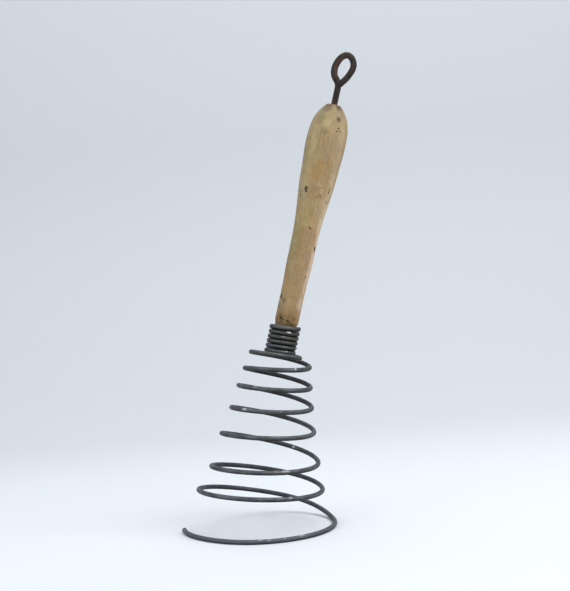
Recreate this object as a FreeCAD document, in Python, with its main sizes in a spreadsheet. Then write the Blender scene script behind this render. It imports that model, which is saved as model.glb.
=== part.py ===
import FreeCAD, Part
import Sketcher
import math
import os
from FreeCAD import Vector, Rotation, Placement

# Conical coil-spring whisk. Millimetres, +Z up, origin on the table at the centre of the foot turn.
# The handle leans towards +X. One steel wire runs from its free end on the table, round the foot
# turn and up through an open cone of turns to a close-wound collar on the handle's neck. An iron
# eye in the butt of the handle hangs it up.

os.makedirs("parts", exist_ok=True)
doc = FreeCAD.newDocument("spring_whisk")

# ---------------------------------------------------------------- driving dimensions
SIZES = [
    # wire
    ("wire_diameter", 3.0),
    ("foot_wear", 0.03),           # depth worn off the underside of the foot turn
    # handle axis: lean from upright, and the neck point where the grip leaves the collar
    ("lean_angle", 16.36),
    ("neck_x", 28.25),
    ("neck_y", -4.0),
    ("neck_z", 137.5),
    # close-wound collar
    ("collar_radius", 8.93),       # wire centre to handle axis
    ("collar_pitch", 3.23),
    ("collar_start", -20.6),       # along the handle axis, from the neck point
    ("collar_turns", 5.4375),
    ("collar_loosening", 0.75),    # how far the end of the wire stands proud
    ("loosened_turns", 0.9),       # length over which it comes away
    # handle
    ("spigot_diameter", 14.8),
    ("spigot_length", 22.5),       # down from the neck point
    ("tang_bore_diameter", 3.96),
    ("tang_bore_depth", 40.5),
    # hanging eye
    ("tang_diameter", 3.9),
    ("tang_length", 40.0),         # inside the handle
    ("stem_length", 14.5),         # outside the handle
    ("eye_rod_diameter", 3.9),
    ("eye_turn_angle", 20.0),      # the loop's plane is turned about the handle axis
]

# Grip sections: (place along the handle axis from the neck point, diameter)
GRIP = [
    (0.0, 15.9), (9.5, 16.0), (19.0, 16.05), (28.5, 16.3), (38.0, 17.1), (47.5, 17.35),
    (57.0, 17.5), (66.5, 18.05), (76.0, 19.5), (85.5, 21.7), (95.0, 23.7), (104.5, 24.8),
    (113.5, 25.9), (122.0, 27.0), (130.0, 26.8), (137.0, 25.0), (142.5, 21.7), (147.0, 16.6),
    (150.7, 10.0),
]

# The coil is tabled against turns counted from the wire's free end.
LIFT_OFF = 0.5       # turn at which the wire leaves the table
CONE_TURNS = 8.0     # turn at which the cone meets the collar
RADIUS_TURNS = [i / 8 for i in range(8)] + [1 + i / 4 for i in range(29)]
LEVEL_TURNS = [turn for turn in RADIUS_TURNS if turn >= LIFT_OFF]
CENTRE_TURNS = [0.0, 1.5, 3.5, 5.5, 7.5, CONE_TURNS]

# Radius about the leaning centre line, at RADIUS_TURNS
COIL_RADIUS = [
    51.0, 48.4, 52.8, 53.6, 49.2, 47.9, 46.6, 44.8,
    42.8, 40.8, 39.4, 38.5, 36.4, 35.4, 34.3, 33.4,
    31.3, 30.7, 29.5, 28.4, 26.8, 26.6, 25.8, 25.3,
    24.0, 23.8, 23.1, 22.8, 21.4, 21.2, 21.3, 20.7,
    18.1, 16.2, 13.6, 10.7, 8.9,
]
# Height of the wire's centre at LEVEL_TURNS after the first, which is at the foot's own level
COIL_LEVEL = [
    7.6, 15.9, 23.8,
    28.2, 25.9, 23.2, 33.4, 43.8, 42.2, 41.5, 54.0,
    65.6, 63.9, 62.4, 73.2, 82.7, 80.4, 78.8, 88.7,
    97.3, 94.6, 92.4, 100.7, 108.8, 107.5, 106.1, 113.5,
    119.5, 116.8, 112.9, 116.6, 120.2,
]
# X of the coil's centre line, at CENTRE_TURNS
COIL_CENTRE = [0.4, 5.5, 12.3, 18.4, 21.9, 22.4]

# Centre line of the eye's loop: (sideways in the loop's plane, along the handle axis from the neck)
EYE_LOOP = [
    (0.2, 160.5), (0.05, 163.6), (-1.2, 166.6), (-3.3, 169.2), (-4.85, 172.4), (-5.15, 176.3),
    (-4.2, 179.9), (-2.2, 183.3), (1.3, 185.25), (5.0, 183.85), (7.3, 180.4), (7.65, 176.8),
    (6.6, 173.5), (4.6, 169.4), (2.7, 166.7), (1.1, 164.6),
]

# The wire is built in lengths: (label, first turn, last turn), the last ending with the collar
FOOT_LENGTH = ("coil_foot_turn", LIFT_OFF, 0.75)
UPPER_LENGTHS = [
    ("coil_lower_turns", 0.75, 2.25),
    ("coil_middle_turn_lower", 2.25, 2.75),
    ("coil_middle_turn_upper", 2.75, 3.25),
    ("coil_upper_turns", 3.25, 7.0),
]
COLLAR_LABEL = "coil_collar"


def alias(stem, i):
    """Spreadsheet alias of entry i in a table, lettered aa, ab, ac..."""
    return "%s_%s%s" % (stem, chr(97 + i // 26), chr(97 + i % 26))


def table_sizes(stem, values):
    return [(alias(stem, i), value) for i, value in enumerate(values)]


def fill_sheet():
    sheet = doc.addObject("Spreadsheet::Sheet", "Sizes")
    sheet.Label = "Sizes"
    entries = (
        SIZES
        + table_sizes("grip_place", [place for place, diameter in GRIP])
        + table_sizes("grip_diameter", [diameter for place, diameter in GRIP])
        + table_sizes("coil_radius", COIL_RADIUS)
        + table_sizes("coil_level", COIL_LEVEL)
        + table_sizes("coil_centre", COIL_CENTRE)
    )
    for row, (name, value) in enumerate(entries, start=1):
        sheet.set("A%d" % row, name)
        sheet.set("B%d" % row, str(value))
        sheet.setAlias("B%d" % row, name)
    doc.recompute()
    return sheet


sheet = fill_sheet()


def size(name):
    return float(sheet.get(name))


def table(stem, count):
    return [size(alias(stem, i)) for i in range(count)]


# ---------------------------------------------------------------- handle axis
lean = math.radians(size("lean_angle"))
along = Vector(math.sin(lean), 0, math.cos(lean))        # handle axis, upward
across = Vector(math.cos(lean), 0, -math.sin(lean))      # square to it, towards +X
neck = Vector(size("neck_x"), size("neck_y"), size("neck_z"))
leaning = Rotation(Vector(0, 1, 0), size("lean_angle"))


# ---------------------------------------------------------------- wire centre line
def spline(xs, ys, flat_start=False):
    """Cubic spline through the stations. Its start is level or natural, its end natural."""
    count = len(xs)
    step = [xs[i + 1] - xs[i] for i in range(count - 1)]
    # tridiagonal equations for the second derivative at each station
    below = [0.0] * count
    diagonal = [1.0] * count
    above = [0.0] * count
    known = [0.0] * count
    for i in range(1, count - 1):
        below[i] = step[i - 1]
        diagonal[i] = 2 * (step[i - 1] + step[i])
        above[i] = step[i]
        known[i] = 6 * ((ys[i + 1] - ys[i]) / step[i] - (ys[i] - ys[i - 1]) / step[i - 1])
    if flat_start:
        diagonal[0] = 2 * step[0]
        above[0] = step[0]
        known[0] = 6 * (ys[1] - ys[0]) / step[0]
    for i in range(1, count):
        factor = below[i] / diagonal[i - 1]
        diagonal[i] -= factor * above[i - 1]
        known[i] -= factor * known[i - 1]
    bend = [0.0] * count
    bend[-1] = known[-1] / diagonal[-1]
    for i in range(count - 2, -1, -1):
        bend[i] = (known[i] - above[i] * bend[i + 1]) / diagonal[i]

    def value_at(x):
        i = 0
        while i < count - 2 and x > xs[i + 1]:
            i += 1
        span = step[i]
        to_next = xs[i + 1] - x
        from_last = x - xs[i]
        return ((bend[i] * to_next ** 3 + bend[i + 1] * from_last ** 3) / (6 * span)
                + (ys[i] / span - bend[i] * span / 6) * to_next
                + (ys[i + 1] / span - bend[i + 1] * span / 6) * from_last)

    return value_at


wire_radius = size("wire_diameter") / 2
foot_level = wire_radius - size("foot_wear")     # wire centre above the worn flat
last_turn = CONE_TURNS + size("collar_turns")
radius_of = spline(RADIUS_TURNS, table("coil_radius", len(COIL_RADIUS)))
level_of = spline(LEVEL_TURNS, [foot_level] + table("coil_level", len(COIL_LEVEL)), True)
centre_of = spline(CENTRE_TURNS, table("coil_centre", len(COIL_CENTRE)))


def cone_point(turn, angle):
    z = foot_level if turn <= LIFT_OFF else level_of(turn)
    centre_y = size("neck_y") * turn / CONE_TURNS
    radius = radius_of(turn)
    return Vector(centre_of(turn) + radius * math.cos(angle), centre_y + radius * math.sin(angle), z)


def collar_point(turn, angle):
    radius = size("collar_radius")
    loose = turn - (last_turn - size("loosened_turns"))
    if loose > 0:
        radius += size("collar_loosening") * (loose / size("loosened_turns")) ** 2
    place = size("collar_start") + size("collar_pitch") * (turn - CONE_TURNS)
    sideways = across * (radius * math.cos(angle)) + Vector(0, radius * math.sin(angle), 0)
    return neck + along * place + sideways


def wire_point(turn):
    """Centre of the wire. Whole turns fall on the -X side, half turns on the +X side."""
    angle = math.pi + 2 * math.pi * turn
    if turn <= CONE_TURNS:
        return cone_point(turn, angle)
    return collar_point(turn, angle)


def wire_heading(turn):
    """Rate of travel of the wire's centre, per turn."""
    return (wire_point(turn + 0.001) - wire_point(turn - 0.001)) * 500.0


def stations(first, last):
    """Sixteenth turns between first and last, passing over the one where the collar begins."""
    found = [first]
    i = int(math.floor(first * 16 + 1e-6)) + 1
    while i / 16.0 < last - 1e-6:
        if abs(i / 16.0 - CONE_TURNS) > 0.01:
            found.append(i / 16.0)
        i += 1
    return found + [last]


def table_line(lift_heading):
    """The wire lies on the table as far as LIFT_OFF."""
    turns = stations(0.0, LIFT_OFF)
    line = Part.BSplineCurve()
    line.interpolate(
        Points=[wire_point(turn) for turn in turns],
        Parameters=turns,
        InitialTangent=(wire_point(0.01) - wire_point(0.0)) * 100.0,
        FinalTangent=lift_heading,
    )
    return line


def rising_line(lift_heading):
    """From LIFT_OFF the wire climbs to the end of the collar."""
    turns = stations(LIFT_OFF, last_turn)
    line = Part.BSplineCurve()
    line.interpolate(
        Points=[wire_point(turn) for turn in turns],
        Parameters=turns,
        Tangents=[lift_heading] + [wire_heading(turn) for turn in turns[1:]],
        TangentFlags=[True] + [False] * (len(turns) - 1),   # only the first is imposed
    )
    return line


def swept_rod(name, line, first, last, diameter_alias):
    """A round rod along the curve between two of its parameters."""
    spine = doc.addObject("Part::Feature", name + "_centre_line")
    spine.Shape = Part.Wire([line.toShape(first, last)])
    section = doc.addObject("Part::Circle", name + "_section")
    section.setExpression("Radius", "Sizes.%s / 2" % diameter_alias)
    facing = Rotation(Vector(0, 0, 1), line.tangent(first)[0])
    section.Placement = Placement(line.value(first), facing)
    sweep = doc.addObject("Part::Sweep", name + "_sweep")
    sweep.Sections = [section]
    sweep.Spine = (spine, ["Edge1"])
    sweep.Solid = True
    sweep.Frenet = False
    return sweep


def fused(label, shapes):
    fusion = doc.addObject("Part::MultiFuse", label)
    fusion.Shapes = shapes
    fusion.Label = label
    return fusion


# ---------------------------------------------------------------- worn wire on the table
def level_arc(name, start, heading, end):
    """Worn wire on the arc that leaves start along heading and reaches end.

    Returns the solid and the heading at its end.
    """
    normal = Vector(-heading.y, heading.x, 0)
    chord = end - start
    centre = start + normal * (chord.dot(chord) / (2.0 * normal.dot(chord)))
    a = start - centre
    b = end - centre
    swing = math.degrees(math.atan2(a.x * b.y - a.y * b.x, a.x * b.x + a.y * b.y))

    # a circle cut off by the worn flat
    half_flat = math.sqrt(wire_radius ** 2 - foot_level ** 2)
    drop = Vector(0, 0, foot_level)
    left = start + normal * half_flat - drop
    right = start - normal * half_flat - drop
    section = doc.addObject("Part::Feature", name + "_section")
    section.Shape = Part.Face(Part.Wire([
        Part.Arc(left, start + Vector(0, 0, wire_radius), right).toShape(),
        Part.LineSegment(right, left).toShape(),
    ]))
    arc = doc.addObject("Part::Revolution", name)
    arc.Source = section
    arc.Axis = Vector(0, 0, 1)
    arc.Base = centre
    arc.Angle = swing
    arc.Solid = True
    return arc, Rotation(Vector(0, 0, 1), swing).multVec(heading)


def worn_arcs(line):
    """Level arcs that share their tangents, two to each eighth of a turn.

    Revolved arcs keep the worn underside truly plane.
    """
    arcs = []
    spans = 4
    for i in range(spans):
        first = i * LIFT_OFF / spans
        last = (i + 1) * LIFT_OFF / spans
        start = line.value(first)
        end = line.value(last)
        start_heading = line.tangent(first)[0]
        end_heading = line.tangent(last)[0]
        # the two arcs meet where equal tangent lengths from both ends allow it
        chord = end - start
        ahead = chord.dot(start_heading + end_heading)
        bend = 2.0 * (1.0 - start_heading.dot(end_heading))
        reach = (math.sqrt(ahead ** 2 + bend * chord.dot(chord)) - ahead) / bend
        join = (start + end + (start_heading - end_heading) * reach) * 0.5
        arc, join_heading = level_arc("foot_arc_%d" % (2 * i + 1), start, start_heading, join)
        arcs.append(arc)
        arc, _ = level_arc("foot_arc_%d" % (2 * i + 2), join, join_heading, end)
        arcs.append(arc)
    return arcs


# ---------------------------------------------------------------- the wire
def build_wire():
    lift_heading = wire_heading(LIFT_OFF)
    lift_heading.z = 0.0
    arcs = worn_arcs(table_line(lift_heading))
    line = rising_line(lift_heading)

    label, first, last = FOOT_LENGTH
    foot = fused(label, arcs + [swept_rod(label, line, first, last, "wire_diameter")])
    foot.Refine = True
    pieces = [foot]
    collar = (COLLAR_LABEL, UPPER_LENGTHS[-1][2], last_turn)
    for label, first, last in UPPER_LENGTHS + [collar]:
        sweep = swept_rod(label, line, first, last, "wire_diameter")
        sweep.Label = label
        pieces.append(sweep)
    return pieces


# ---------------------------------------------------------------- wooden handle
def round_sketch(body, name, diameter_alias, place):
    """A circle square to the handle axis; place is an expression in millimetres."""
    plane = [f for f in body.Origin.OriginFeatures if f.Role == "XY_Plane"][0]
    sketch = body.newObject("Sketcher::SketchObject", name)
    sketch.AttachmentSupport = [(plane, "")]
    sketch.MapMode = "FlatFace"
    sketch.addGeometry(Part.Circle(Vector(0, 0, 0), Vector(0, 0, 1), 5.0), False)
    sketch.addConstraint(Sketcher.Constraint("Coincident", 0, 3, -1, 1))
    radius = sketch.addConstraint(Sketcher.Constraint("Radius", 0, 5.0))
    sketch.setExpression("Constraints[%d]" % radius, "Sizes.%s / 2" % diameter_alias)
    sketch.setExpression("AttachmentOffset.Base.z", place)
    return sketch


def build_handle():
    body = doc.addObject("PartDesign::Body", "wooden_handle")
    body.Label = "wooden_handle"

    spigot_foot = "0 mm - Sizes.spigot_length * 1 mm"
    spigot_sketch = round_sketch(body, "spigot_sketch", "spigot_diameter", spigot_foot)
    spigot = body.newObject("PartDesign::Pad", "spigot")
    spigot.Profile = spigot_sketch
    spigot.setExpression("Length", "Sizes.spigot_length * 1 mm")

    places = ["Sizes.%s * 1 mm" % alias("grip_place", i) for i in range(len(GRIP))]
    sections = [
        round_sketch(body, alias("grip_sketch", i), alias("grip_diameter", i), place)
        for i, place in enumerate(places)
    ]
    grip = body.newObject("PartDesign::AdditiveLoft", "grip")
    grip.Profile = sections[0]
    grip.Sections = sections[1:]
    grip.Ruled = False
    doc.recompute()

    solid_volume = body.Shape.Volume
    bore_sketch = round_sketch(body, "tang_bore_sketch", "tang_bore_diameter", places[-1])
    bore = body.newObject("PartDesign::Pocket", "tang_bore")
    bore.Profile = bore_sketch
    bore.setExpression("Length", "Sizes.tang_bore_depth * 1 mm")
    doc.recompute()
    # guards against a pocket that points out of the butt and cuts nothing
    if body.Shape.Volume >= solid_volume:
        bore.Reversed = True
        doc.recompute()
    bored = solid_volume - body.Shape.Volume
    wanted = math.pi * (size("tang_bore_diameter") / 2) ** 2 * size("tang_bore_depth")
    assert abs(bored - wanted) < 0.05 * wanted, "tang bore"

    body.Placement = Placement(neck, leaning)
    return body


# ---------------------------------------------------------------- hanging eye
def build_eye():
    """An iron rod with its end bent to a loop."""
    turned = Rotation(Vector(0, 0, 1), -size("eye_turn_angle"))

    def eye_point(side, place):
        return neck + leaning.multVec(turned.multVec(Vector(side, 0, 0)) + Vector(0, 0, place))

    butt_place = size(alias("grip_place", len(GRIP) - 1))
    stem = doc.addObject("Part::Cylinder", "eye_stem")
    stem.setExpression("Radius", "Sizes.tang_diameter / 2")
    stem.setExpression("Height", "Sizes.tang_length + Sizes.stem_length")
    stem.Placement = Placement(eye_point(0, butt_place - size("tang_length")), leaning)

    line = Part.BSplineCurve()
    line.interpolate(Points=[eye_point(side, place) for side, place in EYE_LOOP])
    first = line.FirstParameter
    last = line.LastParameter
    middle = (first + last) / 2
    halves = [
        swept_rod("eye_loop_1", line, first, middle, "eye_rod_diameter"),
        swept_rod("eye_loop_2", line, middle, last, "eye_rod_diameter"),
    ]
    return fused("hanging_eye", [stem] + halves)


# ---------------------------------------------------------------- build, check and export
parts = build_wire() + [build_handle(), build_eye()]
doc.recompute()
for item in doc.Objects:
    if "Invalid" in item.State or "Error" in item.State:
        raise RuntimeError("%s did not build: %s" % (item.Label, item.State))
for part in parts:
    if part.Shape.isNull() or not part.Shape.isValid():
        raise RuntimeError("%s has no valid shape" % part.Label)
    if len(part.Shape.Solids) != 1:
        raise RuntimeError("%s is %d solids" % (part.Label, len(part.Shape.Solids)))
for part in parts:
    part.Shape.exportStep("parts/%s.step" % part.Label)
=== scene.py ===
# A whisk standing on a conical coil of spring wire. The wire ends in a close collar round the spigot
# of a leaning wooden handle, and a forged iron eye stands in the handle's butt. Z is up, the coil's
# foot rests on the floor round the origin, the handle leans towards +X and the front faces -Y.
# Sizes are in millimetres unless said otherwise. A "turn" counts round the wire from its foot, and
# a "place" is measured along the handle from its neck, just above the collar.
import math
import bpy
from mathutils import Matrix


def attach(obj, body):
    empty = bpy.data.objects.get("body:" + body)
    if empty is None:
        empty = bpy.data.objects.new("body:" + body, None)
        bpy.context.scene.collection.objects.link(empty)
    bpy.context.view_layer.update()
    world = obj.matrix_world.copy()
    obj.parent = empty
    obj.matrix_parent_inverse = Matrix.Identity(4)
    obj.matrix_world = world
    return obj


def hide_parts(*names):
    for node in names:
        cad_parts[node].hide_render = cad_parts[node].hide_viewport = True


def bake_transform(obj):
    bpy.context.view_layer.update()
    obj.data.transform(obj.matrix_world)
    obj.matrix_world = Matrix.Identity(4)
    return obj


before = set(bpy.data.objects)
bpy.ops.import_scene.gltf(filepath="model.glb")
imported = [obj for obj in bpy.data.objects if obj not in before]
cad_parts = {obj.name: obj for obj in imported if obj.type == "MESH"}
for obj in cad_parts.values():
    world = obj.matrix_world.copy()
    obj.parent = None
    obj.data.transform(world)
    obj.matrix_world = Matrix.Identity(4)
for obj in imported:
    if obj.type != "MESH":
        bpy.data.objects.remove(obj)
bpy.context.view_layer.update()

from types import SimpleNamespace

import bpy
import numpy as np
from mathutils import Matrix, Vector, noise

MM = 0.001

# ------------------------------------------------------------------------------------------------
# driving dimensions
# ------------------------------------------------------------------------------------------------
# the handle's frame: its neck, and its axes across (to the right), to the back and upwards
HANDLE_LEAN = math.radians(16.36)
NECK = np.array([28.25, -4.0, 137.5])
ALONG = np.array([math.sin(HANDLE_LEAN), 0.0, math.cos(HANDLE_LEAN)])
ACROSS = np.array([math.cos(HANDLE_LEAN), 0.0, -math.sin(HANDLE_LEAN)])
BACK = np.array([0.0, 1.0, 0.0])

WIRE_RADIUS = 1.5
CONE_TURNS = 8.0

# the collar, and how far its last end springs outwards and upwards
COLLAR_TURNS = 5.4375
COLLAR_RADIUS = 8.93
COLLAR_PITCH = 3.23
COLLAR_START = -20.6
COLLAR_LOOSE = 0.75
COLLAR_LIFT = 0.45
LAST_TURN = CONE_TURNS + COLLAR_TURNS

# the cone's radius at each eighth of the first turn, then at each quarter turn
RADIUS_TURNS = [i / 8 for i in range(9)] + [1 + i / 4 for i in range(1, 29)]
CONE_RADII = [
    51.0, 48.4, 52.8, 53.6, 49.2, 47.9, 46.6, 44.8, 42.8, 40.8, 39.4, 38.5, 36.4, 35.4, 34.3, 33.4,
    31.3, 30.7, 29.5, 28.4, 26.8, 26.6, 25.8, 25.3, 24.0, 23.8, 23.1, 22.8, 21.4, 21.2, 21.3, 20.7,
    18.1, 16.2, 13.6, 10.7, 8.9,
]
# the wire's height at the same turns, from the half turn where it leaves the floor
LEVEL_TURNS = RADIUS_TURNS[4:]
CONE_LEVELS = [
    1.47, 7.6, 15.9, 23.8, 28.2, 25.9, 23.2, 33.4, 43.8, 42.2, 41.5, 54.0, 65.6, 63.9, 62.4, 73.2,
    82.7, 80.4, 78.8, 88.7, 97.3, 94.6, 92.4, 100.7, 108.8, 107.5, 106.1, 113.5, 119.5, 116.8,
    112.9, 116.6, 120.2,
]
# where the cone's centre stands in X: turns, then places
CENTRE_TURNS = [0.0, 1.5, 3.5, 5.5, 7.5, 8.0]
CONE_CENTRES = [0.4, 5.5, 12.3, 18.4, 21.9, 22.4]

# the handle's outline above the neck: (place, diameter)
GRIP = [
    (0.0, 15.9), (9.5, 16.0), (19.0, 16.05), (28.5, 16.3), (38.0, 17.1), (47.5, 17.35),
    (57.0, 17.5), (66.5, 18.05), (76.0, 19.5), (85.5, 21.7), (95.0, 23.7), (104.5, 24.8),
    (113.5, 25.9), (122.0, 26.8), (130.0, 26.4), (137.0, 24.5), (142.5, 21.0), (147.0, 15.5),
    (149.2, 12.0), (150.7, 9.6),
]


# ------------------------------------------------------------------------------------------------
# curves and meshes
# ------------------------------------------------------------------------------------------------
def cubic(stations, values, flat_start=False):
    """Cubic spline, natural at its end and level or natural at its start, as a function."""
    xs, ys = np.array(stations, float), np.array(values, float)
    count = len(xs)
    gap = np.diff(xs)
    matrix, target = np.zeros((count, count)), np.zeros(count)
    matrix[0, 0] = matrix[-1, -1] = 1.0
    for i in range(1, count - 1):
        matrix[i, i - 1:i + 2] = gap[i - 1], 2 * (gap[i - 1] + gap[i]), gap[i]
        target[i] = 6 * ((ys[i + 1] - ys[i]) / gap[i] - (ys[i] - ys[i - 1]) / gap[i - 1])
    if flat_start:
        matrix[0, :2] = 2 * gap[0], gap[0]
        target[0] = 6 * (ys[1] - ys[0]) / gap[0]
    bend = np.linalg.solve(matrix, target)

    def at(x):
        x = np.asarray(x, float)
        i = np.clip(np.searchsorted(xs, x, side="left") - 1, 0, count - 2)
        ahead, behind, step = xs[i + 1] - x, x - xs[i], gap[i]
        curve = (bend[i] * ahead ** 3 + bend[i + 1] * behind ** 3) / (6 * step)
        return curve + (ys[i] / step - bend[i] * step / 6) * ahead + (
            ys[i + 1] / step - bend[i + 1] * step / 6) * behind

    return at


def unit(vectors):
    return vectors / np.linalg.norm(vectors, axis=-1, keepdims=True)


def rise(value, start, end):
    """0 at start and before, 1 at end and after, straight between; end may be below start."""
    return np.clip((value - start) / (end - start), 0, 1)


def ease(value):
    return value * value * (3 - 2 * value)


def ripple(x, y, z):
    """Smooth noise, about -1 to 1."""
    return noise.noise(Vector((x, y, z)))


def loft_faces(rings, around, flip=False):
    """Quads between successive rings, and a cap at each end."""
    faces = []
    for ring in range(rings - 1):
        low, high = ring * around, (ring + 1) * around
        for j in range(around):
            k = (j + 1) % around
            quad = (low + j, low + k, high + k, high + j)
            faces.append(quad[:1] + quad[:0:-1] if flip else quad)
    first = tuple(range(around))
    last = tuple(range((rings - 1) * around, rings * around))
    faces += [first, last[::-1]] if flip else [first[::-1], last]
    return faces


def shade_smooth(mesh):
    mesh.polygons.foreach_set("use_smooth", [True] * len(mesh.polygons))


def link_object(name, data):
    ob = bpy.data.objects.new(name, data)
    bpy.context.scene.collection.objects.link(ob)
    return ob


def make_object(name, verts, faces, normals=None, attributes=()):
    """A smooth mesh from points in millimetres; attributes are (name, type, values)."""
    mesh = bpy.data.meshes.new(name)
    mesh.from_pydata([tuple(v) for v in (np.asarray(verts) * MM).tolist()], [], faces)
    mesh.update()
    shade_smooth(mesh)
    for key, kind, values in attributes:
        field = "value" if kind == "FLOAT" else "vector"
        data = mesh.attributes.new(key, kind, "POINT").data
        data.foreach_set(field, np.asarray(values, np.float32).ravel())
    if normals is not None:
        mesh.normals_split_custom_set_from_vertices([tuple(n) for n in normals.tolist()])
    return link_object(name, mesh)


# ------------------------------------------------------------------------------------------------
# materials
# ------------------------------------------------------------------------------------------------
class Nodes:
    """A new material and short ways to add its nodes. Inputs may be sockets, numbers or colours."""

    def __init__(self, name):
        self.material = bpy.data.materials.new(name)
        self.material.use_nodes = True
        self.tree = self.material.node_tree
        self.shader = next(n for n in self.tree.nodes if n.type == "BSDF_PRINCIPLED")

    def put(self, socket, value):
        if hasattr(value, "is_output"):
            self.tree.links.new(value, socket)
        elif socket.type != "RGBA":
            socket.default_value = value
        elif isinstance(value, tuple):
            socket.default_value = (*value, 1.0)
        else:
            socket.default_value = (value, value, value, 1.0)

    def node(self, kind, inputs=None, **properties):
        """A node's outputs; inputs maps socket names or numbers to values."""
        node = self.tree.nodes.new(kind)
        for key, value in properties.items():
            setattr(node, key, value)
        for key, value in (inputs or {}).items():
            self.put(node.inputs[key], value)
        return node.outputs

    def attribute(self, name, output="Fac"):
        return self.node("ShaderNodeAttribute", attribute_name=name)[output]

    def split(self, vector):
        return self.node("ShaderNodeSeparateXYZ", {0: vector})

    def mapped(self, vector, scale, shift=(0, 0, 0)):
        inputs = {"Vector": vector, "Scale": scale, "Location": shift}
        return self.node("ShaderNodeMapping", inputs)["Vector"]

    def noise(self, vector, scale, detail, rough, distortion=0.0, shift=(0, 0, 0)):
        return self.node("ShaderNodeTexNoise", {
            "Vector": self.mapped(vector, scale, shift), "Scale": 1.0, "Detail": detail,
            "Roughness": rough, "Distortion": distortion})["Fac"]

    def cells(self, vector, scale, shift):
        """Distance from the centres of scattered cells."""
        inputs = {"Vector": self.mapped(vector, scale, shift), "Scale": 1.0}
        return self.node("ShaderNodeTexVoronoi", inputs)["Distance"]

    def ramp(self, value, stops):
        """Colour by value; stops are (position, colour)."""
        node = self.tree.nodes.new("ShaderNodeValToRGB")
        elements = node.color_ramp.elements
        while len(elements) > 1:
            elements.remove(elements[-1])
        elements[0].position = stops[0][0]
        elements[0].color = (*stops[0][1], 1.0)
        for position, colour in stops[1:]:
            elements.new(position).color = (*colour, 1.0)
        self.put(node.inputs["Fac"], value)
        return node.outputs["Color"]

    def mix(self, base, over, by, blend="MIX"):
        inputs = {0: by, 6: base, 7: over}
        return self.node("ShaderNodeMix", inputs, data_type="RGBA", blend_type=blend)[2]

    def math(self, operation, a, b=0.0, clamp=False):
        return self.node("ShaderNodeMath", {0: a, 1: b}, operation=operation, use_clamp=clamp)[0]

    def times(self, first, *factors):
        for factor in factors:
            first = self.math("MULTIPLY", first, factor)
        return first

    def plus(self, a, b):
        return self.math("ADD", a, b)

    def minus(self, a, b):
        return self.math("SUBTRACT", a, b)

    def inverse(self, value):
        return self.minus(1.0, value)

    def remap(self, value, span, to=(0.0, 1.0), kind="SMOOTHSTEP"):
        """Carries value from the span to the range in `to`, held at both ends."""
        inputs = dict(enumerate((value, *span, *to)))
        return self.node("ShaderNodeMapRange", inputs, interpolation_type=kind)[0]

    def linear(self, value, span, to):
        return self.remap(value, span, to, kind="LINEAR")

    def brighten(self, colour, by):
        return self.node("ShaderNodeHueSaturation", {"Value": by, "Color": colour})["Color"]

    def facing(self, blend):
        return self.node("ShaderNodeLayerWeight", {"Blend": blend})["Facing"]

    def bump(self, height, strength, distance):
        """Bumped normal; the distance is in metres."""
        inputs = {"Strength": strength, "Distance": distance, "Height": height}
        return self.node("ShaderNodeBump", inputs)["Normal"]

    def principled(self, **values):
        for key, value in values.items():
            self.put(self.shader.inputs[key.replace("_", " ")], value)
        return self.material


def steel_brightness(m, turn, outward, upward, normal_z, grit):
    """Painted light and shade round the wire's section: lighter on top, darker below and at the
    edges of view, with painted shade in the collar's gaps; also darker on the side turned to the
    coil's axis.
    """
    # painted light and shade: the wire lighter on its upper side and darker below
    crest = m.linear(normal_z, span=(-0.80, 0.28), to=(0.20, 1.22))
    # painted shade: darker towards the edges of view
    rim = m.remap(m.facing(blend=0.32), span=(0.35, 1.0), to=(1.0, 0.42))
    # darker on the side turned to the coil's axis, most in the upper turns
    inner = m.times(m.remap(outward, span=(0.35, -1.15)),
                    m.remap(turn, span=(2.0, 6.0), to=(0.33, 0.55)))
    # painted shade in the gaps between the collar's close turns, but not on the free upper side of
    # the last turn
    gap = m.times(m.remap(m.math("ABSOLUTE", upward), span=(0.85, 1.42)),
                  m.remap(turn, span=(7.85, 8.1)))
    free = m.times(m.remap(turn, span=(LAST_TURN - 1.15, LAST_TURN - 0.95)),
                   m.remap(upward, span=(-0.3, 0.3)))
    gap = m.times(gap, m.inverse(free))
    gap_depth = 0.64
    # the collar is mottled and a little darker
    mottle = m.linear(grit, span=(0.36, 0.64), to=(0.78, 1.28))
    mottle = m.mix(1.0, over=mottle, by=m.remap(turn, span=(7.9, 8.2)))
    collar_shade = m.remap(turn, span=(7.9, 8.2), to=(1.0, 0.90))
    brightness = m.times(crest, rim, m.inverse(inner), m.inverse(m.times(gap, gap_depth)),
                         mottle, collar_shade)
    return brightness, inner, gap


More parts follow.
